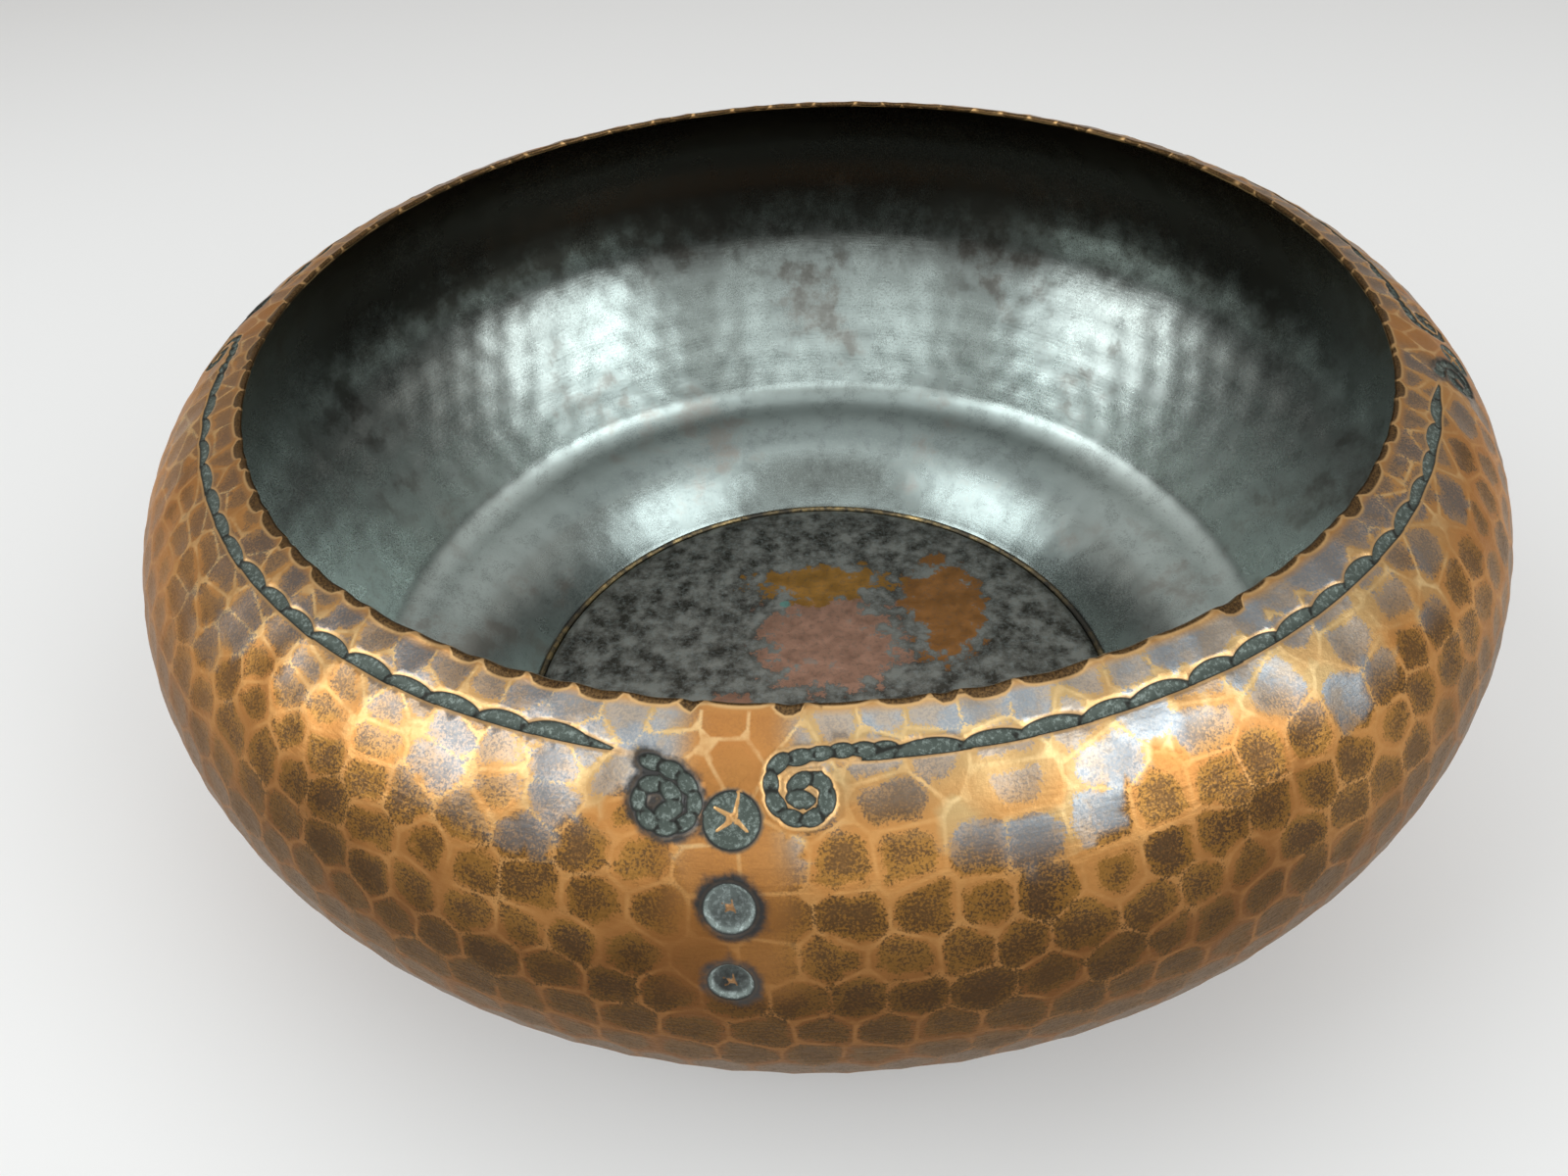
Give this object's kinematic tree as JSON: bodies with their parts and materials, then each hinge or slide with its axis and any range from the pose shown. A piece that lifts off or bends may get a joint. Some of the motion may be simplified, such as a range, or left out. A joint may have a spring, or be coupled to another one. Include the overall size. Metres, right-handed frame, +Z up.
{
  "type": "hammered copper bowl",
  "caption": "Hand-raised round copper bowl with a hammered wall, a rolled-in mouth, a stepped bottom and a low foot; holds fruit or water.",
  "frame": {"origin": "on the floor, at the centre of the foot ring", "axes": "+Z up along the bowl's axis; the bowl is round, and -Y is the side with the first chased motif"},
  "size_m": [0.3, 0.3, 0.1352],
  "materials": {
    "hammered_copper": "planished copper, brown patina with polished ridges, dark grey-green inside",
    "dark_copper": "flat copper with a dark patina, worn through to copper in the middle",
    "brass_spelter": "brass braze, filed and dulled",
    "foot_copper": "brown copper, worn bright where it rests"
  },
  "bodies": {
    "root": {"bowl_wall": "hammered_copper", "base_disc": "dark_copper", "base_seam": "brass_spelter", "foot_ring": "foot_copper", "foot_seam": "brass_spelter"}
  },
  "joints": []
}
